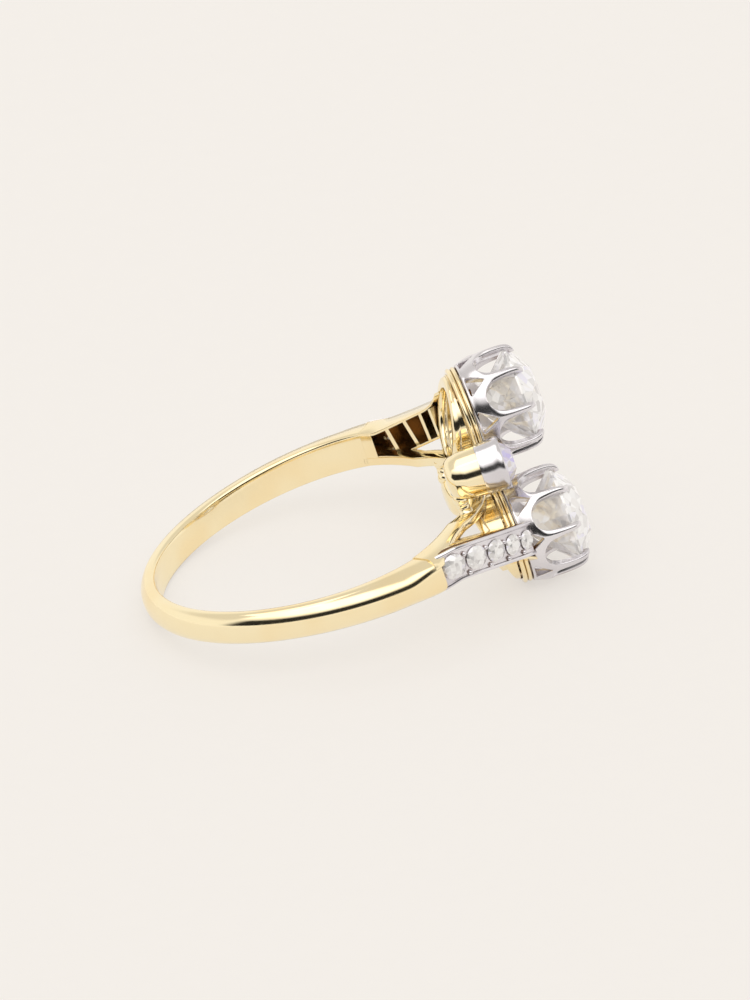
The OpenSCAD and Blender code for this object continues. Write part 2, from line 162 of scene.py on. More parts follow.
def turned(profile, steps=96):
    """Closed profile of (radius, height) turned round the local axis Z."""
    return loft([[(r * cos(f), r * sin(f), h) for r, h in profile] for f in around(steps)], closed=True)


def bead(centre, radii, axis=(0, 0, 1), steps=14):
    """Cast bead, drawn out along an axis."""
    turn = Vector((0, 0, 1)).rotation_difference(Vector(axis)).to_matrix()
    rings = []
    for i in range(1, steps):
        f = pi * i / steps
        ring = []
        for g in around(2 * steps):
            reach = Vector((radii[0] * sin(f) * cos(g), radii[1] * sin(f) * sin(g), radii[2] * cos(f)))
            ring.append(Vector(centre) + turn @ reach)
        rings.append(ring)
    return loft(rings)


def joined(*parts):
    points, faces = [], []
    for part_points, part_faces in parts:
        base = len(points)
        points += [tuple(p) for p in part_points]
        faces += [tuple(base + i for i in face) for face in part_faces]
    return points, faces


def placed(part, where):
    points, faces = part
    return [where(p) for p in points], faces


def raw_mesh(name, part):
    mesh = bpy.data.meshes.new(name)
    mesh.from_pydata([tuple(p) for p in part[0]], [], part[1])
    work = bmesh.new()
    work.from_mesh(mesh)
    bmesh.ops.recalc_face_normals(work, faces=work.faces)
    work.to_mesh(mesh)
    work.free()
    return mesh


def scattered(number):
    """Share from 0 to 1 that looks random, and is always the same for the same number."""
    step, start, spreading = 12.9898, 4.1, 43758.5453
    return (sin(number * step + start) * spreading) % 1.0


def faceted(mesh):
    """Each facet gets its own share of painted light, and those of the crown, which face up, get more. Facet
    0 is the table.
    """
    crown_share, upright = 0.35, 0.05
    up = mesh.polygons[0].normal.copy()
    share = mesh.attributes.new("facet", "FLOAT", "FACE")
    for facet in mesh.polygons:
        crown = crown_share if facet.normal.dot(up) > upright else 0.0
        share.data[facet.index].value = crown + (1 - crown_share) * scattered(facet.index)
    return mesh


def seated(name, mesh, finish, over=False, sharp=38.0, replaces=()):
    """A piece laid in its place on the lying ring."""
    if over:
        mesh.transform(OVER)
    mesh.transform(SEAT)
    if sharp:
        mesh.shade_smooth()
        mesh.set_sharp_from_angle(angle=radians(sharp))
    else:
        mesh.shade_flat()
    mesh.materials.append(finish)
    piece = bpy.data.objects.new(name, mesh)
    bpy.context.scene.collection.objects.link(piece)
    if replaces:
        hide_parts(*replaces)
    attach(piece, "root")
    return piece


# Bench work: each step changes the work piece on the bench


def on_bench(name, mesh):
    bench = bpy.data.objects.new(name, mesh)
    bpy.context.scene.collection.objects.link(bench)
    return bench


def as_worked(bench):
    """Mesh of a work piece with its modifiers applied."""
    graph = bpy.context.evaluated_depsgraph_get()
    graph.update()
    return bpy.data.meshes.new_from_object(bench.evaluated_get(graph))


def worked(name, mesh, *steps):
    bench = on_bench(name + "_bench", mesh)
    for step in steps:
        step(bench)
    result = as_worked(bench)
    bpy.data.objects.remove(bench)
    return result


def softened(levels):
    def step(bench):
        soft = bench.modifiers.new("soft", "SUBSURF")
        soft.levels = soft.render_levels = levels
    return step


def cut_by(part):
    def step(bench):
        cutter = on_bench("cutter", raw_mesh("cutter", part))
        cut = bench.modifiers.new("cut", "BOOLEAN")
        cut.operation, cut.solver, cut.object = "DIFFERENCE", "EXACT", cutter
        result = as_worked(bench)
        bench.modifiers.remove(cut)
        bench.data = result
        bpy.data.objects.remove(cutter)
    return step


# Places on the ring


def on_ring(angle, r, a):
    return (r * cos(radians(angle)), r * sin(radians(angle)), a)


def at_main(p):
    """Local frame of a head: Z along the main stone's axis, out of the ring."""
    return (p[2], MAIN_S + p[1], MAIN_A - p[0])


def at_side(p):
    """Local frame of a collet, which leans a little off the head's axis."""
    c, s = cos(radians(LEAN)), sin(radians(LEAN))
    return (BORE_R + p[1] * s + p[2] * c, -SIDE_S + p[1] * c - p[2] * s, SIDE_A - p[0])


def half_angle(angle):
    """Angle from the head, taken on the nearer side of the ring."""
    return angle if angle <= 180 else 360 - angle


def head_share(angle):
    return (1 + cos(radians(angle))) / 2


def band_share(angle):
    return head_share(angle) / head_share(FORK_ANGLE)


def band_w(angle):
    return mix(BACK_W, FORK_W, band_share(angle) ** W_POWER)


def band_t(angle):
    return mix(BACK_T, FORK_T, band_share(angle) ** T_POWER)


def band_middle(angle):
    """The band's middle swings to one fork and to the other, and drops at the back."""
    centre = mix(-BACK_DROP, FORK_CENTRE, band_share(half_angle(angle)) ** CENTRE_POWER)
    return (centre + BACK_DROP) * (1 if angle <= 180 else -1) - BACK_DROP * (1 - head_share(angle))


def lift(angle):
    """Share of the way from the fork to the head's end of the set branch."""
    return (LIFT_ANGLE - angle) / (LIFT_ANGLE - BRANCH_END)


def branch_in(angle):
    return BORE_R + (BRANCH_LIFT * sin(pi / 2 * lift(angle)) if angle < LIFT_ANGLE else 0)


def branch_out(angle):
    return BORE_R + mix(FORK_T + BRANCH_STEP, BRANCH_RISE, lift(angle))


def branch_centre(angle):
    share = max(0, lift(angle)) ** BRANCH_POWER
    return mix(FORK_CENTRE + BRANCH_SHIFT, MAIN_A - BRANCH_SHORT, share)


def branch_edge(angle, half):
    """Edge of the set branch away from the ring's middle, drawn in to the band's own edge at the fork."""
    edge = band_middle(PLATE_FROM) + band_w(PLATE_FROM) / 2
    return mix(edge, branch_centre(angle) + half, smooth((PLATE_FROM - angle) / FORK_RUN))


def stone_d(i):
    return STONE_D * (1 - STONE_STEP * i)


def stone_angle(i):
    """The last stone lies against the claw setting, and each other one against the stone after it."""
    if i == STONES - 1:
        return LAST_STONE_ANGLE
    following = stone_angle(i + 1)
    pitch = (stone_d(i) + stone_d(i + 1)) / 2 + STONE_GAP
    return following + degrees(pitch / branch_out(following + BETWEEN_STONES))


def at_stone(i):
    """Local frame on the shoulder: X along the finger, Y along the branch, Z out of the stone."""
    angle = stone_angle(i)
    slope = atan2(branch_out(angle - 1) - branch_out(angle + 1), 2 * pi / 180 * branch_out(angle))
    turn = radians(angle) + slope
    h, s, a = on_ring(angle, branch_out(angle), branch_centre(angle))

    def where(p):
        across = p[2] * sin(turn) + p[1] * cos(turn)
        return (h + p[2] * cos(turn) - p[1] * sin(turn), s + across, a - p[0])
    return where


# Finishes


class Reading:
    """A socket of a finish, on which sums are written as they are read."""

    def __init__(self, finish, socket):
        self.finish, self.socket = finish, socket

    def _sum(self, operation, a, b):
        return self.finish.node("ShaderNodeMath", {"operation": operation}, {0: a, 1: b})

    def __add__(self, other):
        return self._sum("ADD", self, other)

    def __radd__(self, other):
        return self._sum("ADD", other, self)

    def __sub__(self, other):
        return self._sum("SUBTRACT", self, other)

    def __rsub__(self, other):
        return self._sum("SUBTRACT", other, self)

    def __mul__(self, other):
        return self._sum("MULTIPLY", self, other)

    def __rmul__(self, other):
        return self._sum("MULTIPLY", other, self)


class Finish:
    """A material or the surroundings, with the one way in which its nodes are made."""

    def __init__(self, name, surroundings=False):
        self.data = bpy.data.worlds.new(name) if surroundings else bpy.data.materials.new(name)
        self.data.use_nodes = True
        self.tree = self.data.node_tree
        self.tree.nodes.clear()

    def node(self, kind, settings=None, values=None, out=0):
        made = self.tree.nodes.new(kind)
        for key, value in (settings or {}).items():
            if key == "stops":
                self.set_stops(made.color_ramp.elements, value)
            else:
                setattr(made, key, value)
        for key, value in (values or {}).items():
            self.give(made.inputs[key], value)
        return Reading(self, made.outputs[out]) if made.outputs else None

    def set_stops(self, ramp, stops):
        while len(ramp) < len(stops):
            ramp.new(0.5)
        for stop, (place, colour) in zip(ramp, stops):
            stop.position, stop.color = place, (*colour, 1)

    def give(self, socket, value):
        if isinstance(value, Reading):
            self.tree.links.new(value.socket, socket)
        else:
            socket.default_value = value

    def place(self):
        """Place on the piece in metres."""
        return self.node("ShaderNodeTexCoord", out="Object")

    def noise(self, scale, detail=3.0, rough=0.5, stretch=None):
        where = self.place()
        if stretch:
            where = self.node("ShaderNodeMapping", None, {"Vector": where, "Scale": stretch})
        values = {"Vector": where, "Scale": scale, "Detail": detail, "Roughness": rough}
        return self.node("ShaderNodeTexNoise", None, values)

    def steps(self, value, low, high, to_low=0.0, to_high=1.0):
        ends = {"From Min": low, "From Max": high, "To Min": to_low, "To Max": to_high}
        settings = {"interpolation_type": "SMOOTHSTEP"}
        return self.node("ShaderNodeMapRange", settings, {"Value": value, **ends})

    def blend(self, share, a, b):
        colours = {6: opaque(a), 7: opaque(b)}
        return self.node("ShaderNodeMix", {"data_type": "RGBA"}, {0: share, **colours}, out=2)

    def bump(self, height, strength, distance):
        values = {"Height": height, "Strength": strength, "Distance": distance}
        return self.node("ShaderNodeBump", None, values)

    def shader(self, values):
        skin = self.node("ShaderNodeBsdfPrincipled", None, values)
        self.node("ShaderNodeOutputMaterial", None, {"Surface": skin})
        return self.data


def opaque(colour):
    return colour if isinstance(colour, Reading) else (*colour, 1)


def polished(name, bright, deep, rough, wear=1.0):
    """Polished precious metal: soft colour drift, wear lines, mop ripple, and painted shade, tinted brown
    like old dirt, that darkens the sheltered hollows.
    """
    grime_and_shade_tint = (0.30, 0.18, 0.10)
    f = Finish(name)
    drift = f.steps(f.noise(scale=260.0, detail=2.0), low=0.35, high=0.7)
    lines = f.noise(scale=9000.0, detail=2.0, rough=0.6, stretch=(1.0, 0.16, 0.5))
    ticks = f.steps(f.noise(scale=2600.0, detail=4.0, rough=0.7), low=0.6, high=0.74)
    ripple = f.noise(scale=620.0, detail=2.0)
    shelter = {"samples": 6, "only_local": False}
    open_air = f.node("ShaderNodeAmbientOcclusion", shelter, {"Distance": 0.0007}, out="AO")
    # painted shade: where ambient occlusion finds the surface sheltered, the base colour turns dirt-brown
    # and the surface gets rougher
    painted_shade = 1.0 - f.steps(open_air + 0.12 * ticks, low=0.15, high=0.72)
    height = ripple * 0.5 + lines * 0.03 * wear + ticks * 0.05 * wear
    return f.shader({
        "Base Color": f.blend(0.75 * painted_shade, f.blend(drift, bright, deep), grime_and_shade_tint),
        "Metallic": 1.0,
        "Roughness": rough + 0.06 * wear * ticks + 0.05 * wear * drift + 0.03 * wear * lines + 0.2 * painted_shade,
        "Normal": f.bump(height, strength=0.35, distance=0.00003),
    })


def diamond(name, shades, haze, body, flash, painted_glow, cells, mirrored):
    """Clear stone with painted light: each facet is painted a shade from the palette, mixed with cells of
    painted reflection standing for the facets seen through it, and the shades also glow as painted light.
    """
    f = Finish(name)
    facet = f.node("ShaderNodeAttribute", {"attribute_name": "facet"}, out="Fac")
    behind = f.node("ShaderNodeTexVoronoi", None, {"Vector": f.place(), "Scale": cells}, out="Color")
    cloud = f.steps(f.noise(scale=900.0), low=0.3, high=0.75)
    stops = list(zip(spread(0.0, 0.9, len(shades) - 1), shades))
    seen = facet * (1.0 - mirrored) + behind * mirrored
    shade = f.node("ShaderNodeValToRGB", {"stops": stops}, {0: seen})
    return f.shader({
        "Base Color": f.blend(0.25 * cloud, shade, (0.97, 0.96, 0.95)),
        "Roughness": haze + 0.03 * cloud,
        "IOR": 2.417,
        "Metallic": flash,
        "Transmission Weight": body,
        # painted glow: the facet shades glow, though the stone is no lamp
        "Emission Color": shade,
        "Emission Strength": painted_glow,
    })


gold = polished("yellow_gold", bright=(1.0, 0.88, 0.595), deep=(0.99, 0.82, 0.50), rough=0.08)
# Near-black gold for the sheet of painted shade inside the set branches
shade_dark_gold = polished("shade_dark_gold", bright=(0.22, 0.11, 0.05), deep=(0.12, 0.055, 0.025), rough=0.38, wear=2.0)
platinum = polished("platinum", bright=(0.82, 0.80, 0.83), deep=(0.71, 0.69, 0.725), rough=0.13, wear=1.2)
plate_metal = polished(
    "platinum_plate", bright=(0.84, 0.82, 0.855), deep=(0.72, 0.70, 0.74), rough=0.17, wear=1.2)

# Palette of painted light, shade and reflection for the stones' facets
WHITE, CREAM, ASH = (0.98, 0.98, 0.98), (0.95, 0.92, 0.86), (0.80, 0.78, 0.77)
SMOKE, LILAC, VIOLET = (0.55, 0.53, 0.53), (0.80, 0.78, 0.92), (0.60, 0.54, 0.95)
SAND, BROWN = (0.80, 0.74, 0.66), (0.45, 0.33, 0.27)
clear_stone = diamond(
    "main_diamond", (BROWN, SAND, CREAM, ASH, WHITE, SMOKE, WHITE, LILAC, WHITE),
    haze=0.04, body=0.25, flash=0.15, painted_glow=0.12, cells=2300.0, mirrored=0.45)
side_stone = diamond(
    "side_diamond", (SMOKE, WHITE, ASH, VIOLET, WHITE, LILAC, SAND, VIOLET, WHITE),
    haze=0.04, body=0.3, flash=0.15, painted_glow=0.08, cells=2600.0, mirrored=0.4)
small_stone = diamond(
    "small_diamond", (SMOKE, LILAC, WHITE, SMOKE, WHITE, ASH, LILAC),
    haze=0.06, body=0.15, flash=0.35, painted_glow=0.06, cells=5200.0, mirrored=0.35)


# Camera: fitted to the photographed ring, in the ring's frame, and laid down with the ring


def seat_of_camera(place, right, up, ahead):
    turn = SEAT.to_3x3().normalized()
    columns = [turn @ Vector(v) for v in (right, up, (-ahead[0], -ahead[1], -ahead[2]))]
    axes = Matrix(columns).transposed().to_4x4()
    return Matrix.Translation(SEAT @ Vector(place)) @ axes


camera_data = bpy.data.cameras.new("camera")
camera_data.sensor_fit = "HORIZONTAL"
camera_data.sensor_width = 36.0
camera_data.lens = 561.6
camera_data.clip_start, camera_data.clip_end = 0.02, 10.0
camera = bpy.data.objects.new("camera", camera_data)
camera.matrix_world = seat_of_camera(
    place=(-25.982, -553.789, 229.38),
    right=(0.936734, -0.175741, -0.302730),
    up=(0.346440, 0.341689, 0.873629),
    ahead=(0.050093, 0.923235, -0.380955))
bpy.context.scene.collection.objects.link(camera)
bpy.context.scene.camera = camera


# Gold: shank


def dome(angle, a):
    """Height of the band over the bore at a place across its width."""
    square = SQUARE_MOST * smooth((SQUARE_FROM - angle) / SQUARE_RUN)
    t = band_t(angle)
    side = mix(*SIDE_SHARES, square) * t
    x = min(1.0, abs(a - band_middle(angle)) / (band_w(angle) / 2))
    return side + (t - side) * (1 - x ** mix(*DOME_POWERS, square))


def band_section(angle):
    half = half_angle(angle)
    half_w = band_w(half) / 2
    points = []
    for x in spread(-1, 1, 20):
        height, a = dome(half, band_middle(half) + half_w * x), half_w * x * TOP_EDGE_SHARE
        if abs(x) == 1:
            height, a = height - TOP_EDGE_DROP, half_w * x
        points.append((BORE_R + height, a))
    points += [(BORE_R + height, half_w * share) for height, share in INSIDE_EDGE]
    points += [(BORE_R + height, -half_w * share) for height, share in reversed(INSIDE_EDGE[:-1])]
    return [on_ring(angle, r, band_middle(angle) + a) for r, a in points]


def shank():
    return loft([band_section(angle) for angle in spread(PLATE_FROM, 360 - PLATE_FROM, 220)])


# Gold: branches


def bar_section(angle, r0, r1, a0, a1, edge):
    """Section of a bar from r0 to r1 and a0 to a1, with three points round each edge."""
    edge = min(edge, (r1 - r0) / 3, (a1 - a0) / 3)
    corners = ((r0, a1, -1, -1), (r0, a0, -1, 1), (r1, a0, 1, 1), (r1, a1, 1, -1))
    points = []
    for k, (r, a, outward, inward) in enumerate(corners):
        for t in (0, pi / 4, pi / 2):
            first, second = (cos(t), sin(t)) if k % 2 else (sin(t), cos(t))
            points.append(on_ring(angle, r - outward * edge * (1 - first), a + inward * edge * (1 - second)))
    return points


def branch_wall(outer):
    """Side wall of the set branch. The outer one covers the plate's side and flares up to the rail."""
    into_band = 0.6
    rings = []
    for angle in spread(BRANCH_END, PLATE_FROM + into_band, 48):
        if outer:
            cover = PLATE_COVER * smooth((PLATE_FROM - angle) / FORK_RUN)
            flare = FLARE * max(0.0, (FLARE_FROM - angle) / (FLARE_FROM - BRANCH_END)) ** FLARE_POWER
            a1 = branch_edge(angle, BRANCH_W / 2) - HAIR + cover + flare
            a0 = a1 - BRANCH_WALL
        else:
            a0 = branch_centre(angle) - BRANCH_W / 2
            a1 = a0 + BRANCH_WALL
        rings.append(bar_section(angle, branch_in(angle), branch_out(angle) - WALL_DROP, a0, a1, edge=0.04))
    return loft(rings)


def window_bar(middle, slant):
    """Bar between two windows, set back a little from the walls and from the plate."""
    half, set_back, under_plate = BRANCH_W / 2 - 0.05, 0.03, PLATE_T + 0.2
    rings = []
    for turn in (-BAR_HALF_TURN, BAR_HALF_TURN):
        low, high = [], []
        for share in spread(-1, 1, 6):
            angle = middle + turn + slant * share
            a = branch_centre(angle) + share * half
            low.append(on_ring(angle, branch_in(angle) + set_back, a))
            high.append(on_ring(angle, branch_out(angle) - under_plate, a))
        rings.append(low + high[::-1])
    return loft(rings)


def branch_root():
    """Solid root of the set branch, between the last window and the shank."""
    into_band, inset_low, inset_high = 0.3, 0.02, 0.03
    rings = []
    for angle in spread(ROOT_FROM, PLATE_FROM + into_band, 8):
        a0 = branch_centre(angle) - BRANCH_W / 2 + inset_low
        a1 = branch_edge(angle, BRANCH_W / 2) - inset_high
        r1 = branch_out(angle) - WALL_DROP
        rings.append(bar_section(angle, branch_in(angle) + HAIR, r1, a0, a1, edge=0.03))
    return loft(rings)


def set_branch():
    bars = [window_bar(middle, slant) for middle, slant in WINDOW_BARS]
    return joined(branch_wall(outer=False), branch_wall(outer=True), *bars, branch_root())


def set_branch_shade_sheet():
    """Dark sheet of painted shade inside the set branch, seen through its windows, and a thin dark line
    along its side.
    """
    backing_gap, backing_t, inset = 0.05, 0.12, 0.1
    line_low, line_high, line_half = 0.5, 0.26, 0.02
    backing, line = [], []
    for angle in spread(BRANCH_END, PLATE_FROM - 2, 24):
        middle, r = branch_centre(angle), branch_out(angle) - PLATE_T - backing_gap
        half = BRANCH_W / 2 - inset
        backing.append(bar_section(angle, r - backing_t, r, middle - half, middle + half, edge=0.02))
    for angle in spread(BRANCH_END + 3, FORK_ANGLE + 3, 24):
        a, r = branch_centre(angle) - BRANCH_W / 2, branch_out(angle)
        line.append(bar_section(angle, r - line_low, r - line_high, a - line_half, a + line_half, edge=0.01))
    return joined(loft(backing), loft(line))


def plain_branch():
    """Runs out of the band's edge, whose dome it takes over, and lifts to the collet."""
    rings = []
    for angle in spread(PLAIN_END, PLATE_FROM + 2, 44):
        share = max(0.0, (PLAIN_LIFT - angle) / (PLAIN_LIFT - PLAIN_END))
        run = smooth((angle - PLAIN_RUN) / (PLATE_FROM - PLAIN_RUN))
        r = BORE_R + PLAIN_RISE * sin(pi / 2 * share)
        centre = mix(*PLAIN_A, share)
        a0 = mix(centre - PLAIN_W / 2, band_middle(PLATE_FROM) - band_w(PLATE_FROM) / 2, run)
        a1 = centre + PLAIN_W / 2
        section = [(0.2, a0), (0.1, a0 + 0.015), (0.035, a0 + 0.06), (0, a0 + 0.16)]
        section += [(0, a1 - 0.12), (0.03, a1 - 0.03), (0.12, a1)]
        for x in spread(1, -1, 12):
            a = mix(a0, a1, (x + 1) / 2)
            crowned = PLAIN_T - PLAIN_CROWN * x ** 4
            section.append((mix(crowned, dome(max(angle, PLATE_FROM), a) - 2 * HAIR, run), a))
        rings.append([on_ring(angle, r + height, a) for height, a in section])
    return loft(rings)


# Gold: galleries under the heads


def collar():
    """Two round ridges on a plain ring."""
    top = SETTING_H - COLLAR_GAP
    ridge = (top - COLLAR_H) / RIDGES
    inside = COLLAR_R - COLLAR_WALL
    profile = [(inside, COLLAR_H + COLLAR_CHAMFER), (inside + COLLAR_CHAMFER, COLLAR_H)]
    for k in range(RIDGES):
        middle = COLLAR_H + ridge * (k + 0.5)
        for f in spread(-80, 80, 8):
            r = COLLAR_R - RIDGE_DEPTH * (1 - cos(radians(f)))
            profile.append((r, middle + ridge / 2 * sin(radians(f))))
    profile += [(inside + COLLAR_CHAMFER, top), (inside, top - COLLAR_CHAMFER)]
    return placed(turned(profile, 128), at_main)


def rail():
    """Leaning ring at the foot of the gallery."""
    profile = []
    for f in around(24):
        r = RAIL_R - RAIL_HALF_W * (1 - squared(cos(f)))
        profile.append((r, RAIL_HALF_T * (1 + squared(sin(f)))))
    c, s = cos(radians(RAIL_LEAN)), sin(radians(RAIL_LEAN))

    def leaning(p):
        return at_main((p[0] * c + p[2] * s, p[1], RAIL_H - p[0] * s + p[2] * c))
    return placed(turned(profile, 128), leaning)


def gallery_wall():
    """Wall set back between the leaning rail and the collar."""
    top = COLLAR_H - GALLERY_SET_BACK
    slope = tan(radians(RAIL_LEAN))
    rings = []
    for f in around(96):
        ring = []
        for inset, upper in ((0.06, False), (0.04, True), (GALLERY_WALL, True), (GALLERY_WALL, False)):
            r = RAIL_R - inset
            h = top if upper else RAIL_H + RAIL_HALF_T - r * slope * cos(f)
            ring.append(at_main((r * cos(f), r * sin(f), h)))
        rings.append(ring)
    return loft(rings, closed=True)


def posts():
    """Posts from the rail to the collar, wider at their feet and heads."""
    shape = ((0, 0.2), (0.12, 0.16), (0.3, 0.14), (0.7, 0.14), (0.88, 0.16), (1, 0.2))
    in_rail, in_collar = 0.12, 0.08
    reach = RAIL_R - POST_INSET
    parts = []
    for k in range(POSTS):
        f = radians(POST_FIRST + 360 / POSTS * k)
        foot = RAIL_H + in_rail - reach * tan(radians(RAIL_LEAN)) * cos(f)
        rings = []
        for share, r in shape:
            h = mix(foot, COLLAR_H + in_collar, share)
            ring = [(reach * cos(f) + r * cos(q), reach * sin(f) + r * sin(q), h) for q in around(20)]
            rings.append([at_main(p) for p in ring])
        parts.append(loft(rings))
    return joined(*parts)


def bridge():
    """Bar between the two galleries."""
    low = RAIL_H - RAIL_R * tan(radians(RAIL_LEAN)) + BRIDGE_RISE
    between = sqrt(MAIN_S ** 2 + MAIN_A ** 2)
    s, a = MAIN_S / between, MAIN_A / between
    length = between - RAIL_R + BRIDGE_OVERLAP
    rings = []
    for d in spread(-length, length, 8):
        ring = []
        for q in around(24):
            across = BRIDGE_HALF_W * squared(cos(q))
            up = BRIDGE_HALF_T * (1 + squared(sin(q)))
            ring.append((low + up, d * s - across * a, d * a + across * s))
        rings.append(ring)
    return loft(rings)


# Gold: feet of the collets


def collet_wall(h):
    return mix(COLLET_FOOT_R, COLLET_R, h / SIDE_RISE)


def collet_foot():
    """Gold cup with a rounded bottom."""
    belly = 0.02
    profile = [(AXIS_R, -0.34), (0.4, -0.33), (0.68, -0.3), (0.88, -0.22)]
    profile += [(1.03, -0.09), (1.13, 0.09), (1.175, 0.3)]
    for h in spread(0.5, COLLET_JOINT, 5):
        profile.append((collet_wall(h) + belly * sin(pi * h / COLLET_JOINT), h))
    profile += [(COLLET_BORE_R, COLLET_JOINT), (COLLET_BORE_R, 0.4), (AXIS_R, 0.3)]
    return placed(turned(profile), at_side)


def knobs():
    """Solder beads from the collet down to the plain branch: share of the way, size and squash of each."""
    parts = []
    for share, size, squash in ((0.0, 0.41, 0.95), (0.3, 0.31, 1.15), (0.55, 0.29, 1.2), (0.95, 0.41, 1.0)):
        centre = (
            BORE_R + mix(0.05, 0.1, share),
            -SIDE_S - mix(0.3, 0.45, share),
            mix(SIDE_A - COLLET_FOOT_R + 0.15, -PLAIN_A[0], share))
        parts.append(bead(centre, (size, size * squash, size * 1.05), axis=(0.5, 0.8, -0.6)))
    return joined(*parts)


def gold_piece(name, part, over=False, finish=gold):
    seated("gold_" + name, raw_mesh(name, part), finish, over, replaces=("gold_mount",))


def gold_mount():
    gold_piece("shank", shank())
    for side, over in FAR_NEAR:
        gold_piece(f"set_branch_{side}", set_branch(), over)
        gold_piece(f"plain_branch_{side}", plain_branch(), over)
        gold_piece(f"knobs_{side}", knobs(), over)
        gold_piece(f"set_branch_inside_{side}", set_branch_shade_sheet(), over, shade_dark_gold)
    for side, over in UPPER_LOWER:
        gold_piece(f"collar_{side}", collar(), over)
        gold_piece(f"rail_{side}", rail(), over)
        gold_piece(f"gallery_wall_{side}", gallery_wall(), over)
        gold_piece(f"posts_{side}", posts(), over)
    for side, over in NEAR_FAR:
        gold_piece(f"collet_foot_{side}", collet_foot(), over)
    gold_piece("bridge", bridge())


# Platinum: claw settings

# Rows of the cage from the foot to the claws' tips. claw is half a claw's width, where claws stand free
Row = namedtuple("Row", "height outer inner inner_height claw")
CAGE = [Row(*row) for row in (
    (10.30, 2.620, 2.26, 10.30, None),
    (10.43, 2.640, 2.26, 10.43, None),
    (10.60, 2.700, 2.30, 10.60, None),
    (10.80, 2.755, 2.35, 10.80, None),
    (11.00, 2.800, 2.40, 11.00, None),
    (11.12, 2.825, 2.43, 11.12, None),
    (11.135, 2.830, 2.435, 11.135, None),
    (11.19, 2.840, 2.45, 11.19, None),
    (11.28, 2.855, 2.47, 11.28, None),
    (11.38, 2.870, 2.49, 11.38, None),
    (11.55, 2.890, 2.52, 11.55, None),
    (11.80, 2.915, 2.55, 11.80, None),
    (12.05, 2.930, 2.57, 12.05, 0.24),
    (12.40, 2.930, 2.58, 12.40, 0.205),
    (12.75, 2.910, 2.58, 12.75, 0.185),
    (13.00, 2.870, 2.58, 12.95, 0.175),
    (13.22, 2.780, 2.53, 13.06, 0.165),
    (13.38, 2.620, 2.44, 13.13, 0.15),
    (13.43, 2.440, 2.34, 13.18, 0.12),
)]
FREE_ROW = next(row for row in CAGE if row.claw)
SCALLOP_LOW, SCALLOP_TOP = 11.12, FREE_ROW.height
WINDOW_LOW, WINDOW_TOP, WINDOW_HALF = 10.43, 11.38, 0.62
SILL_ROW = next(i for i, row in enumerate(CAGE) if row.height == WINDOW_LOW)
QUADS = 4
ROUNDING, ROUNDING_RUN = 0.10, 0.6


def wall_half(row):
    """Half width in degrees that is metal on each side of a claw's middle."""
    height, r = CAGE[row].height, CAGE[row].outer
    if height <= SCALLOP_LOW:
        return 180 / CLAWS
    if CAGE[row].claw:
        return degrees(CAGE[row].claw / r)
    widest = FREE_ROW.outer * pi / CLAWS - FREE_ROW.claw
    x = (SCALLOP_TOP - height) / (SCALLOP_TOP - SCALLOP_LOW)
    opening = widest * sqrt(max(0.0, 1 - x * x))
    return degrees((r * pi / CLAWS - opening) / r)


def window_half(row):
    """Half width in degrees of the pointed window below a claw."""
    height, r = CAGE[row].height, CAGE[row].outer
    if not WINDOW_LOW <= height < WINDOW_TOP:
        return 0.0
    return degrees(WINDOW_HALF * (WINDOW_TOP - height) / (WINDOW_TOP - WINDOW_LOW) / r)


def claw_cage():
    """Quad cage of a claw setting: eight claws, a scallop between them, a window under each.

    Gives its points and faces, the edges of its outer skin's rims, and how many points that skin has.
    """
    numbers, places, quads = {}, [], []

    def number(angle, row, share):
        name = (round((angle % 360) * 1000) % 360000, row)
        if name not in numbers:
            numbers[name] = len(places)
            places.append((angle, CAGE[row], share))
        return numbers[name]

    def strip(claw, row, left, right):
        for j in range(QUADS):
            quad = []
            for r, k in ((row, j), (row, j + 1), (row + 1, j + 1), (row + 1, j)):
                a = mix(left(r), right(r), k / QUADS)
                quad.append(number(claw + a, r, a / wall_half(r)))
            quads.append(tuple(quad))

    sill = degrees(WINDOW_HALF / CAGE[SILL_ROW].outer)
    for c in range(CLAWS):
        claw = CLAW_FIRST + c * 360 / CLAWS
        for row in range(len(CAGE) - 1):
            if row < SILL_ROW:
                strip(claw, row, lambda r: -wall_half(r), lambda r: -sill)
                strip(claw, row, lambda r: -sill, lambda r: sill)
                strip(claw, row, lambda r: sill, wall_half)
            else:
                strip(claw, row, lambda r: -wall_half(r), lambda r: -window_half(r))
                strip(claw, row, window_half, wall_half)

    outer, inner = [], []
    for angle, row, share in places:
        run = smooth((row.height - SCALLOP_LOW) / ROUNDING_RUN) if row.height >= SCALLOP_LOW else 0.0
        r, f = row.outer - ROUNDING * run * share * share, radians(angle)
        outer.append(at_main((r * cos(f), r * sin(f), row.height)))
        inner.append(at_main((row.inner * cos(f), row.inner * sin(f), row.inner_height)))
    n = len(places)
    directed = {(q[i], q[(i + 1) % 4]) for q in quads for i in range(4)}
    rim = [(a, b) for a, b in directed if (b, a) not in directed]
    faces = quads + [tuple(n + i for i in reversed(q)) for q in quads]
    faces += [(b, a, n + a, n + b) for a, b in rim]
    return outer + inner, faces, rim, n


def claw_setting(name, over):
    """Cage of quads, softened, with its rims kept a little crisper inside than outside."""
    outer_crease, inner_crease = 0.45, 0.6
    points, faces, rim, n = claw_cage()
    mesh = raw_mesh(name, (points, faces))
    crease = mesh.attributes.new("crease_edge", "FLOAT", "EDGE")
    edges = {tuple(sorted(e.vertices)): e.index for e in mesh.edges}
    for a, b in rim:
        crease.data[edges[tuple(sorted((a, b)))]].value = outer_crease
        crease.data[edges[tuple(sorted((a + n, b + n)))]].value = inner_crease
    result = worked(name, mesh, softened(2))
    seated(name + "_platinum", result, platinum, over, sharp=60.0, replaces=(name,))


# Platinum: collet tops and shoulder plates


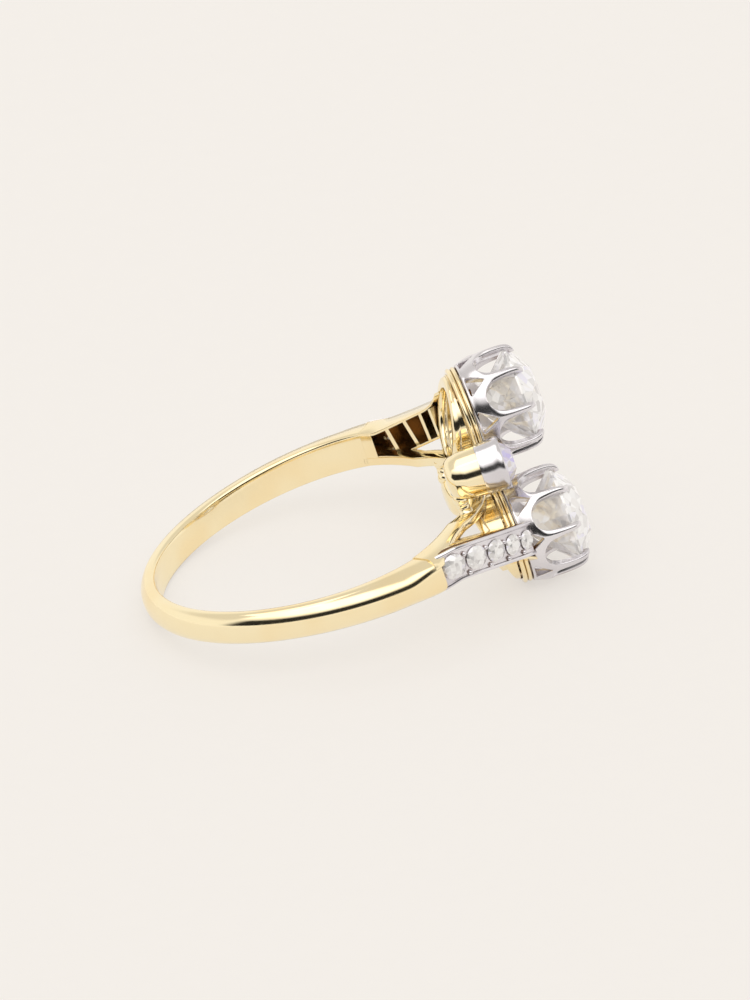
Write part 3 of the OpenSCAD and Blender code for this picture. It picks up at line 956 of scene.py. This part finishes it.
def collet_top():
    """Bored cup whose rolled rim holds the side stone."""
    low = COLLET_JOINT + 2 * HAIR
    r = SIDE_D / 2
    profile = [(COLLET_BORE_R, low), (COLLET_BORE_R, 1.75), (0.98, 2.2)]
    profile += [(r + 0.03, SIDE_RISE - 0.04), (r + 0.02, SIDE_RISE + 0.05), (r + 0.06, 2.79)]
    profile += [(1.27, 2.82), (1.335, 2.815), (1.385, 2.77), (1.41, 2.69), (1.415, 2.6), (1.40, 2.5)]
    profile += [(collet_wall(h) + 0.015, h) for h in (2.35, 2.2, 2.0, 1.85, 1.7, 1.6)]
    profile.append((collet_wall(low), low))
    return placed(turned(list(reversed(profile))), at_side)


def shoulder_plate():
    """Plate with a raised rim along each edge."""
    rim = ((0.5, -0.09), (0.5, -0.06), (0.475, -0.01), (0.44, 0.01), (0.405, -0.01), (0.38, -0.07))
    across = [(-share, h) for share, h in rim] + [(share, h) for share, h in reversed(rim)]
    rings = []
    for angle in spread(BRANCH_END, PLATE_FROM, 60):
        r1 = branch_out(angle)
        low, high = branch_centre(angle) - PLATE_W / 2, branch_edge(angle, PLATE_W / 2)
        points = [(r1 - 0.12, high - 0.03), (r1 - 0.12, low + 0.03)]
        points += [(r1 + h, mix(low, high, share + 0.5)) for share, h in across]
        rings.append([on_ring(angle, r, a) for r, a in points])
    return loft(rings)


def setting_room():
    """Room that the claw setting takes out of the plate."""
    gap, top = 0.02, 13.1
    profile = [(AXIS_R, SETTING_H - gap)]
    profile += [(row.outer + gap, row.height) for row in CAGE if row.height < top]
    profile.append((AXIS_R, top))
    return placed(turned(profile, 64), at_main)


def stone_seat(i):
    """Room that a shoulder stone takes out of the plate."""
    r = stone_d(i) / 2
    profile = [(AXIS_R, -1.2), (r - 0.12, -1.2), (r + 0.01, -0.12), (r + 0.05, 0.5), (AXIS_R, 0.5)]
    return placed(turned(profile, 32), at_stone(i))


def grains():
    """Beads raised between the shoulder stones to hold them."""
    size, place, past_stone = (0.125, 0.125, 0.12), 0.45, 0.03
    parts = []
    for i in range(1, STONES):
        y = stone_d(i) / 2 + past_stone
        for x in (-place, place):
            parts.append(placed(bead((x * stone_d(i), y, 0.0), size, steps=10), at_stone(i)))
    return joined(*parts)


def platinum_work():
    for side, over in UPPER_LOWER:
        claw_setting("claw_setting_" + side, over)
    for side, over in NEAR_FAR:
        name = "collet_" + side
        mesh = raw_mesh(name, collet_top())
        seated(name + "_platinum", mesh, platinum, over, replaces=(name,))
    cuts = [cut_by(setting_room())] + [cut_by(stone_seat(i)) for i in range(STONES)]
    for side, over in FAR_NEAR:
        name = "shoulder_plate_" + side
        mesh = worked(name, raw_mesh(name, shoulder_plate()), *cuts)
        seated(name + "_platinum", mesh, plate_metal, over, sharp=30.0, replaces=(name,))
        seated(name + "_grains", raw_mesh("grains", grains()), plate_metal, over, replaces=(name,))


# Stones


def cut_stone(d, table=0.27, crown=0.18, star=0.55, lower=0.45, arc=4):
    """Round cut: table, stars, kites, crown halves, girdle, pavilion halves, mains and an open culet.

    table, crown, pavilion, culet and girdle are shares of d. arc is the girdle's sides in an eighth of it.
    """
    pavilion, culet, girdle = 0.42, 0.05, 0.012
    r, r_table, r_culet = 0.5 * d, table * d, culet * d
    top, low, edge = crown * d, -pavilion * d, girdle * d
    crown_slope = (top - edge) / (r - r_table)
    pavilion_slope = (-edge - low) / (r - r_culet)
    half = cos(radians(22.5))
    r_kite = mix(r_table, r, star)
    r_lower = mix(r, r_culet, lower)
    n = 8 * arc
    points = []

    def spoke(radius, angle, z):
        points.append((radius * cos(radians(angle)), radius * sin(radians(angle)), z))
        return len(points) - 1

    tables = [spoke(r_table, 45 * k, top) for k in range(8)]
    kite_z = top - crown_slope * (r_kite * half - r_table)
    kites = [spoke(r_kite, 45 * k + 22.5, kite_z) for k in range(8)]
    upper = [spoke(r, 360 / n * k, edge) for k in range(n)]
    under = [spoke(r, 360 / n * k, -edge) for k in range(n)]
    lower_z = low + pavilion_slope * (r_lower * half - r_culet)
    lowers = [spoke(r_lower, 45 * k + 22.5, lower_z) for k in range(8)]
    culets = [spoke(r_culet, 45 * k + 22.5, low) for k in range(8)]
    faces = [tuple(tables)]
    for k in range(8):
        m = (k + 1) % 8
        faces.append((tables[k], kites[k], tables[m]))
        faces.append((tables[k], kites[k - 1], upper[arc * k], kites[k]))
        faces.append((culets[k - 1], culets[k], lowers[k], under[arc * k], lowers[k - 1]))
        for j in range(arc):
            a, b = arc * k + j, (arc * k + j + 1) % n
            faces.append((kites[k], upper[a], upper[b]))
            faces.append((lowers[k], under[b], under[a]))
            faces.append((upper[a], under[a], under[b], upper[b]))
    faces.append(tuple(reversed(culets)))
    return points, faces


def stone(name, part, finish, over):
    seated(name + "_cut", faceted(raw_mesh(name, part)), finish, over, sharp=None, replaces=(name,))


def stones():
    main = placed(
        cut_stone(MAIN_D, table=0.25, crown=0.19, star=0.5, lower=0.4),
        lambda p: at_main((p[0], p[1], GIRDLE_H + p[2])))
    side = placed(
        cut_stone(SIDE_D, table=0.24, crown=0.28),
        lambda p: at_side((p[0], p[1], SIDE_RISE + p[2])))
    for place, over in UPPER_LOWER:
        stone("main_stone_" + place, main, clear_stone, over)
    for place, over in NEAR_FAR:
        stone("side_stone_" + place, side, side_stone, over)
    over_size = 1.07
    for i in range(STONES):
        part = placed(cut_stone(stone_d(i) * over_size, crown=0.17, arc=2), at_stone(i))
        for place, over in FAR_NEAR:
            stone(f"shoulder_stone_{place}_{i + 1}", part, small_stone, over)


gold_mount()
platinum_work()
stones()


# Studio: pale floor, soft light from above and a dark gap behind the camera


def pale_floor():
    """Pale card with an even glow near the ring, which as painted light glows brighter away from it."""
    half = 6
    corners = [(-half, -half, 0), (half, -half, 0), (half, half, 0), (-half, half, 0)]
    mesh = raw_mesh("floor", (corners, [(0, 1, 2, 3)]))
    f = Finish("pale_card")
    grain = f.noise(scale=900.0)
    reach = f.node("ShaderNodeVectorMath", {"operation": "LENGTH"}, {0: f.place()}, out="Value")
    glow = f.blend(grain, (0.635, 0.605, 0.57), (0.63, 0.60, 0.565))
    mesh.materials.append(f.shader({
        "Base Color": f.blend(grain, (0.27, 0.265, 0.26), (0.265, 0.26, 0.255)),
        # painted light: the glow brightens between 8 and 20 cm from the ring
        "Emission Color": f.blend(f.steps(reach, low=0.08, high=0.2), glow, (0.76, 0.73, 0.69)),
        "Emission Strength": 1.0,
        "Roughness": 0.9,
        "Specular IOR Level": 0.1,
    }))
    floor = bpy.data.objects.new("floor", mesh)
    bpy.context.scene.collection.objects.link(floor)


def surroundings():
    """White room: bright overhead on the camera's side, with a dark gap there, and dimmer opposite."""
    camera_side = (-0.1786, -0.984, 0.0)
    f = Finish("studio", surroundings=True)
    direction = f.node("ShaderNodeTexCoord", out="Generated")
    height = f.node("ShaderNodeSeparateXYZ", None, {0: direction}, out="Z")
    facing = f.node(
        "ShaderNodeVectorMath", {"operation": "DOT_PRODUCT"}, {0: direction, 1: camera_side}, out="Value")
    gap = f.steps(height, 0.07, 0.13) * f.steps(height, 0.46, 0.58, 1.0, 0.0) * f.steps(facing, 0.30, 0.5)
    toward = f.steps(facing, 0.12, 0.3)
    overhead = f.steps(height, 0.58, 0.72) * toward
    dim = f.steps(height, 0.35, 0.6) * (1.0 - toward)
    room = f.blend(dim, (0.98, 0.95, 0.90), (0.76, 0.73, 0.69))
    pale = f.blend(overhead, room, (1.7, 1.67, 1.62))
    colour = f.blend(gap, pale, (0.02, 0.02, 0.02))
    sky = f.node("ShaderNodeBackground", None, {"Color": colour, "Strength": 1.0})
    f.node("ShaderNodeOutputWorld", None, {"Surface": sky})
    bpy.context.scene.world = f.data


def soft_lamp():
    """Small soft lamp above, a little behind and to the left, that gives the faint shadows."""
    light = bpy.data.lights.new("soft_key", "AREA")
    light.shape, light.size, light.size_y = "RECTANGLE", 0.25, 0.18
    light.energy, light.color = 0.12, (1.0, 0.98, 0.95)
    lamp = bpy.data.objects.new("soft_key", light)
    lamp.location = (-0.12, 0.05, 0.32)
    lamp.rotation_euler = (-Vector(lamp.location)).to_track_quat("-Z", "Y").to_euler()
    bpy.context.scene.collection.objects.link(lamp)


pale_floor()
surroundings()
soft_lamp()
bpy.context.scene.view_settings.view_transform = "Standard"
